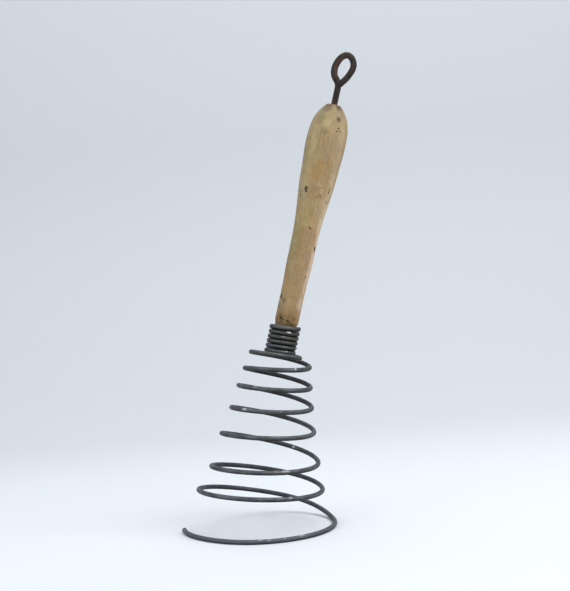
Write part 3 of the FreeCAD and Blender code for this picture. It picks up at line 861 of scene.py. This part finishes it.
# soft stains on the front, with painted light and painted shade among them: (place, offset
# across, half length, half width, amount); the kinds fill the mesh's stain attributes in this order
FRONT_STAINS_AND_LIGHT = {
    "ochre": [
        (103, -2, 9, 6, 0.74), (109, 5, 6, 3.5, 0.45), (93, 5, 5, 4, 0.45), (20, -4, 8, 5, 0.35),
        (5, 4, 5, 4.5, 0.65), (3.5, -3, 5, 5, 0.30), (50, -2, 7, 3, 0.25), (25, -4.6, 5.5, 3, 0.50),
        (147.8, -1, 2.4, 5, 0.45), (89, 3.5, 5, 3.2, 0.35), (44, 3, 3, 1.6, 0.35),
        (58, -3.5, 4, 3, 0.30), (75, 0.5, 6.5, 4, 0.32)],
    "olive": [
        (121, -9, 11, 3.6, 0.75), (104, -8, 8, 3.5, 0.55), (78, -4, 9, 5, 0.60),
        (68, -6, 7, 3, 0.30), (52, -6, 6, 2.6, 0.25), (38, -5.5, 5, 2.5, 0.35),
        (96, -6, 6, 5, 0.40), (68.3, 0.5, 4.6, 6.5, 0.50), (111, -3, 5, 3, 0.30),
        (131, -9.5, 6, 3, 0.45), (139.5, 0, 7, 9, 0.34), (133, 8, 6, 3, 0.30)],
    "taupe": [
        (125, 4.5, 9, 4.2, 0.60), (114, 2, 5, 3, 0.40), (60, 2.5, 5, 5.5, 0.50),
        (46, 4.5, 6, 3.4, 0.65), (36, 5, 5, 3, 0.60), (138.5, 3, 3, 3, 0.40)],
    # painted light: the long narrow cream strips at offsets 6.4 to 9.8 light the handle's right
    # side; the small cream spots are pale patches
    "cream": [
        (72, 8.4, 17, 2.7, 0.60), (54, 7.9, 10, 2.2, 0.45), (28, 7, 8, 2.4, 0.42),
        (13, 6.4, 6, 2.8, 0.60), (132, 9.5, 9, 3.5, 0.30), (136.6, -2.6, 3, 3.2, 0.46),
        (87, 9.5, 5, 2.2, 0.45), (60, 8.1, 7.5, 2.4, 0.80), (45, 7.7, 9.5, 2.2, 0.78),
        (33, 7.3, 8, 2.4, 0.75), (95, 1.8, 0.7, 2.4, 0.42), (91, 3.6, 1.8, 0.8, 0.36),
        (94.2, -8.2, 2, 0.8, 0.40), (88.5, 0.6, 0.8, 1.5, 0.36), (84, 6.6, 2.2, 0.8, 0.34),
        (102, -7.4, 0.8, 2.4, 0.24), (125, -8, 10, 3.2, 0.26), (99, 9.8, 8, 2.5, 0.42),
        (77.5, 3, 2.6, 0.9, 0.26)],
    # the three broad patches on the head's top, places 141 to 146.8, are painted shade over the
    # dome; the smaller patches are grime
    "grime_and_shade": [
        (146.8, -3.5, 5, 6.5, 0.95), (141, -7, 6, 5, 0.75), (144.5, 4, 5, 6, 0.70),
        (130, -2.8, 1.9, 3.4, 0.80), (138.5, 4, 5, 3.5, 0.35), (91.5, -2, 4.5, 4, 0.42),
        (12.5, -6, 6, 3, 0.60), (86, -8, 5, 2.5, 0.25)],
    "brown": [
        (148.7, -3.9, 1.9, 3.4, 0.96), (148.8, 3.2, 2.5, 3.6, 0.97),
        (146.4, -4.2, 2.6, 3.2, 0.70), (2, -3, 3, 4, 0.45), (14.9, -4.8, 1.5, 1.5, 0.50),
        (1.2, 2, 2, 3, 0.40)],
}
# stains on the back: the same columns, with the angle in degrees for the offset
BACK_STAINS = {
    "ochre": [(84, 120, 9, 5, 0.55), (12, 60, 6, 4, 0.50)],
    "olive": [(118, 95, 12, 7, 0.55), (46, 130, 9, 4, 0.45)],
    "taupe": [(98, 60, 10, 5, 0.50), (30, 90, 8, 4.5, 0.50)],
    "cream": [(108, 160, 8, 4, 0.40), (70, 40, 12, 3, 0.35)],
    "grime_and_shade": [(126, 140, 6, 6, 0.45), (60, 80, 9, 4, 0.40), (142, 60, 5, 6, 0.55)],
    "brown": [(4, 100, 5, 7, 0.55), (148.2, 95, 2.4, 4, 0.80), (90.5, 75, 2.2, 1.4, 0.45)],
}

grip_radius = cubic([place for place, _ in GRIP], [diameter / 2 for _, diameter in GRIP])


def front_angle(place, offset):
    """Angle round the handle of a point on its front at that offset across."""
    r = float(grip_radius(min(max(place, 0.0), 149.6)))
    return math.atan2(-math.sqrt(max(r * r - offset * offset, 0.01)), offset)


def with_angles(front, back):
    """Rows from both tables, their second column turned into an angle in radians."""
    rows = [(row[0], front_angle(row[0], row[1]), *row[2:]) for row in front]
    return rows + [(row[0], math.radians(row[1]), *row[2:]) for row in back]


class Handle:
    """The handle's surface as a grid of rings, in its own frame."""

    def __init__(self):
        grip = np.concatenate([np.arange(0.9, 147.0, 0.30), np.arange(147.0, 149.9, 0.2)])
        spigot = [(place, SPIGOT_RADIUS) for place in np.arange(-21.0, -1.0, 0.8)]
        stations = SPIGOT_END + spigot + SHOULDER + list(zip(grip, grip_radius(grip))) + BUTT
        self.rings = len(stations)
        self.angles = 2 * math.pi * np.arange(HANDLE_AROUND) / HANDLE_AROUND
        shape = (self.rings, HANDLE_AROUND)
        self.places, self.radii = (
            np.broadcast_to(column[:, None], shape) for column in np.array(stations).T)
        self.mark = np.zeros(shape)
        self.points = np.zeros((*shape, 3))
        for i, (place, radius) in enumerate(stations):
            body = rise(place, -0.2, 1.8) * rise(place, 150.6, 148.1)
            for j, angle in enumerate(self.angles):
                x, y = math.cos(angle), math.sin(angle)
                # not quite round, with soft flats and a slow waviness
                bulge = 0.10 * math.cos(2 * (angle - 0.6) + place * 0.012)
                for amount, around, along, shift in HANDLE_WAVES:
                    bulge += amount * ripple(x * around, y * around, place * along + shift)
                r = radius + body * bulge
                self.points[i, j] = r * x, r * y, place

    def offsets(self, place, angle):
        """Distances along and round the surface from a spot on it."""
        turned = (self.angles - angle + math.pi) % (2 * math.pi) - math.pi
        return self.places - place, turned * self.radii

    def press(self, depth):
        self.points[:, :, :2] *= (1 - depth / np.maximum(self.radii, 1.0))[:, :, None]

    def darken(self, amount):
        self.mark = np.maximum(self.mark, amount)

    def cut_mark(self, place, angle, half_length, half_width, depth, darkness, slant):
        """A ragged oval dent, darkened."""
        along, around = self.offsets(place, angle)
        cosine, sine = math.cos(math.radians(slant)), math.sin(math.radians(slant))
        reach = 3.5 * max(half_length, half_width)
        near = (np.abs(along) < reach) & (np.abs(around) < reach)
        ragged = np.zeros_like(along)
        for i, j in zip(*np.nonzero(near)):
            ragged[i, j] = 0.28 * ripple(along[i, j] * 0.9 + place, around[i, j] * 0.9, 1.5)
        oval = np.hypot((along * cosine + around * sine) / half_length,
                        (around * cosine - along * sine) / half_width)
        far = 9.0
        away = np.where(near, oval + ragged, far)
        self.press(depth * ease(np.clip(1.25 - away, 0, 1)))
        self.darken(darkness * rise(away, 1.12, 0.70))

    def cut_bruise(self, place, offset, radius, width, depth, darkness):
        """A round bruise: an uneven ring, paler in its middle."""
        along, around = self.offsets(place, front_angle(place, offset))
        distance = np.hypot(along, around)
        lopsided = 1.0 + 0.22 * np.clip(along / radius, -1, 1)
        lopsided -= 0.30 * np.clip(around / radius, -1, 1)
        away = np.abs(distance - radius) / (width * lopsided)
        self.press(depth * np.clip(1.1 - away, 0, 1))
        self.darken(darkness * np.clip(1.15 - away, 0, 1))
        self.darken(0.45 * darkness * np.clip(1.4 - distance / radius, 0, 1))

    def stain_and_light_layers(self):
        """The amount of each kind of stain, painted light and painted shade, over the whole surface.
        """
        sway = np.zeros_like(self.mark)
        for i in range(self.rings):
            for j in range(0, HANDLE_AROUND, 2):
                x, y = math.cos(self.angles[j]) * 2.6, math.sin(self.angles[j]) * 2.6
                sway[i, j:j + 2] = ripple(x, y, self.places[i, j] * 0.17)
        layers = []
        for kind, front in FRONT_STAINS_AND_LIGHT.items():
            layer = np.zeros_like(self.mark)
            for place, angle, half_length, half_width, amount in with_angles(
                    front, BACK_STAINS[kind]):
                along, around = self.offsets(place, angle)
                away = np.hypot(along / half_length, around / half_width) + 0.30 * sway
                layer = np.maximum(layer, amount * ease(np.clip(1.35 - away, 0, 1)))
            layers.append(layer.ravel())
        return layers


def build_handle():
    surface = Handle()
    for row in with_angles(FRONT_MARKS, BACK_MARKS):
        surface.cut_mark(*row)
    surface.cut_bruise(place=140.1, offset=5.2, radius=1.0, width=0.80, depth=0.16, darkness=0.72)
    layers = surface.stain_and_light_layers()
    local = surface.points.reshape(-1, 3)
    world = NECK + local[:, :1] * ACROSS + local[:, 1:2] * BACK + local[:, 2:3] * ALONG
    faces = loft_faces(surface.rings, HANDLE_AROUND)
    ob = make_object("handle_grip", world, faces, attributes=[
        ("grain", "FLOAT_VECTOR", local), ("mark", "FLOAT", surface.mark),
        ("stain_a", "FLOAT_VECTOR", np.stack(layers[:3], -1)),
        ("stain_and_light_b", "FLOAT_VECTOR", np.stack(layers[3:], -1))])
    ob.data.materials.append(WOOD)
    return ob


handle = build_handle()
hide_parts("wooden_handle")
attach(handle, "handle")

# ------------------------------------------------------------------------------------------------
# the hanging eye: a forged rod, its end bent round and tucked against the stem
# ------------------------------------------------------------------------------------------------
EYE_TURN = math.radians(-20.0)  # the loop's plane, turned about the handle's axis
STEM_RADIUS = 2.14
ROD_AROUND = 36
ROD_DENT = 0.06
# the loop's centre line: (sideways in its plane, place)
LOOP = [
    (0.1, 160.5), (-0.03, 163.58), (-1.2, 166.59), (-3.25, 169.15), (-4.8, 172.35),
    (-5.05, 176.35), (-4.1, 179.95), (-2.1, 183.35), (1.35, 185.35), (4.95, 184),
    (7.2, 180.55), (7.55, 176.95), (6.6, 173.85), (4.65, 169.95), (2.68, 167.27), (0.99, 165.13),
]
LOOP_RINGS = 220
# rings that round a rod's end: (share of the radius, distance out)
ROD_END = [(0.96, 0.1), (0.85, 0.24), (0.55, 0.34)]


def rod(path, radii, seed):
    """A closed rod along a path, hammered a little, its ends rounded."""
    path = np.asarray(path)
    tangent = unit(np.gradient(path, axis=0))
    first_side = unit(np.cross(tangent, BACK))
    second_side = np.cross(first_side, tangent)
    rings = []
    for i, (centre, radius) in enumerate(zip(path, radii)):
        ring = []
        for j in range(ROD_AROUND):
            angle = 2 * math.pi * j / ROD_AROUND
            x, y = math.cos(angle), math.sin(angle)
            dent = ROD_DENT * ripple(i * 0.09 + seed, x * 0.8, y * 0.8)
            dent += 0.03 * ripple(i * 0.35 + seed, x * 2.2, y * 2.2)
            ring.append(centre + (radius + dent) * (x * first_side[i] + y * second_side[i]))
        rings.append(np.array(ring))

    def rounded(centre, ring, out):
        return [centre + (ring - centre) * share + out * push for share, push in ROD_END]

    head = rounded(path[0], rings[0], -tangent[0])[::-1]
    rings = head + rings + rounded(path[-1], rings[-1], tangent[-1])
    return np.concatenate(rings), loft_faces(len(rings), ROD_AROUND)


def eye_point(side, place):
    return (NECK + (side * math.cos(EYE_TURN)) * ACROSS + (side * math.sin(EYE_TURN)) * BACK
            + place * ALONG)


def raw_eye():
    """The stem and the loop as two rods in one mesh."""
    stem = [eye_point(0.0, place) for place in np.arange(112.0, 164.8, 0.5)]
    stem_verts, stem_faces = rod(stem, [STEM_RADIUS] * len(stem), seed=1.0)
    knots = np.arange(len(LOOP), dtype=float)
    steps = np.linspace(0, len(LOOP) - 1, LOOP_RINGS)
    sides = cubic(knots, [side for side, _ in LOOP])(steps)
    places = cubic(knots, [place for _, place in LOOP])(steps)
    path = [eye_point(float(side), float(place)) for side, place in zip(sides, places)]
    # the rod thickens soon after the loop leaves the stem and thins again past the top
    share = np.clip(steps / (len(LOOP) - 1), 0, 1)
    radii = 2.06 + 0.24 * np.clip(share * 6, 0, 1) - 0.14 * np.clip((share - 0.4) * 6, 0, 1)
    loop_verts, loop_faces = rod(path, radii, seed=7.0)
    faces = stem_faces + [tuple(i + len(stem_verts) for i in face) for face in loop_faces]
    return make_object("eye_raw", np.concatenate([stem_verts, loop_verts]), faces)


def fused(raw, name):
    """The rods merged into one softened skin, as a new mesh; the raw object goes."""
    join = raw.modifiers.new("join", "REMESH")
    join.mode = "VOXEL"
    join.voxel_size = 0.20 * MM
    join.use_smooth_shade = True
    soften = raw.modifiers.new("soften", "SMOOTH")
    soften.factor = 0.5
    soften.iterations = 3
    depsgraph = bpy.context.evaluated_depsgraph_get()
    mesh = bpy.data.meshes.new_from_object(raw.evaluated_get(depsgraph))
    bpy.data.objects.remove(raw)
    mesh.name = name
    return mesh


def eye_warmth(mesh):
    """Rust along the loop's inside on its left, and where the stem leaves the butt."""
    coords = np.empty(len(mesh.vertices) * 3)
    mesh.vertices.foreach_get("co", coords)
    local = (coords.reshape(-1, 3) / MM) - NECK
    side = (local @ ACROSS) * math.cos(EYE_TURN) + (local @ BACK) * math.sin(EYE_TURN)
    place = local @ ALONG
    # an oval band about the loop's middle, kept to its left and above its foot
    away = np.hypot(side - 1.2, (place - 176.5) * 0.85)
    band = np.clip(1.3 - np.abs(away - 4.9) / 1.6, 0, 1)
    band *= rise(side, 2.6, -0.4) * rise(place, 167.0, 170.0)
    return np.maximum(band, 0.6 * np.clip(1 - np.abs(place - 152.0) / 2.0, 0, 1))


def build_eye():
    mesh = fused(raw_eye(), "hanging_eye_rod")
    shade_smooth(mesh)
    mesh.materials.clear()
    mesh.materials.append(IRON)
    warm = mesh.attributes.new("warm", "FLOAT", "POINT")
    warm.data.foreach_set("value", eye_warmth(mesh).astype(np.float32))
    return link_object("hanging_eye_rod", mesh)


eye = build_eye()
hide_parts("hanging_eye")
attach(eye, "handle")

# ------------------------------------------------------------------------------------------------
# floor, light and camera, in metres
# ------------------------------------------------------------------------------------------------
FLOOR_HALF_WIDTH = 2.2
FLOOR_FRONT = [-1.6, -0.8, -0.2, 0.2]  # rows of the flat floor in Y
COVE_START = 0.45
COVE_RADIUS = 0.35
COVE_STEPS = 12
WALL_TOP = 1.6


def build_floor():
    """A flat floor swept up through a quarter round into a wall behind."""
    profile = [(y, 0.0) for y in [*FLOOR_FRONT, COVE_START]]
    for i in range(1, COVE_STEPS + 1):
        angle = math.pi / 2 * i / COVE_STEPS
        profile.append((COVE_START + COVE_RADIUS * math.sin(angle),
                        COVE_RADIUS - COVE_RADIUS * math.cos(angle)))
    profile.append((COVE_START + COVE_RADIUS, WALL_TOP))
    verts = [(x, y, z) for y, z in profile for x in (-FLOOR_HALF_WIDTH, FLOOR_HALF_WIDTH)]
    faces = [(2 * i, 2 * i + 1, 2 * i + 3, 2 * i + 2) for i in range(len(profile) - 1)]
    mesh = bpy.data.meshes.new("floor")
    mesh.from_pydata(verts, [], faces)
    shade_smooth(mesh)
    mesh.materials.append(floor_material())
    link_object("floor", mesh)


def add_light(name, place, size, power, colour, target=(0.03, 0, 0.14)):
    """A square lamp turned to its target; power in watts."""
    data = bpy.data.lights.new(name, "AREA")
    data.shape = "SQUARE"
    data.size = size
    data.energy = power
    data.color = colour
    ob = bpy.data.objects.new(name, data)
    ob.location = place
    aim = Vector(target) - Vector(place)
    ob.rotation_euler = aim.to_track_quat("-Z", "Y").to_euler()
    bpy.context.scene.collection.objects.link(ob)


def set_world():
    """Soft pale blue light from all round."""
    world = bpy.data.worlds.new("soft")
    bpy.context.scene.world = world
    world.use_nodes = True
    background = world.node_tree.nodes["Background"]
    background.inputs["Color"].default_value = (0.86, 0.93, 1.0, 1)
    background.inputs["Strength"].default_value = 0.55
    bpy.context.scene.view_settings.view_transform = "Standard"


def add_camera():
    """In front, looking level along +Y, rolled a little."""
    data = bpy.data.cameras.new("camera")
    camera = link_object("camera", data)
    data.sensor_width = 36.0
    data.lens = 73.854822
    data.shift_x = 0.04196277
    data.shift_y = -0.04230118
    roll = math.atan(0.07)
    x, y, z = 0.01304, -0.82447, 0.17388
    camera.matrix_world = Matrix((
        (math.cos(roll), math.sin(roll), 0.0, x),
        (0.0, 0.0, -1.0, y),
        (-math.sin(roll), math.cos(roll), 0.0, z),
        (0.0, 0.0, 0.0, 1.0),
    ))
    bpy.context.scene.camera = camera


build_floor()
add_light("key", place=(0.75, -0.55, 1.05), size=0.9, power=11.0, colour=(1.0, 0.985, 0.96))
add_light("fill", place=(-1.1, -0.9, 0.7), size=1.2, power=6.0, colour=(0.93, 0.97, 1.0))
add_light("top", place=(0.0, 0.15, 1.5), size=1.4, power=10.0, colour=(0.96, 0.98, 1.0),
          target=(0.0, 0.0, 0.0))
set_world()
add_camera()
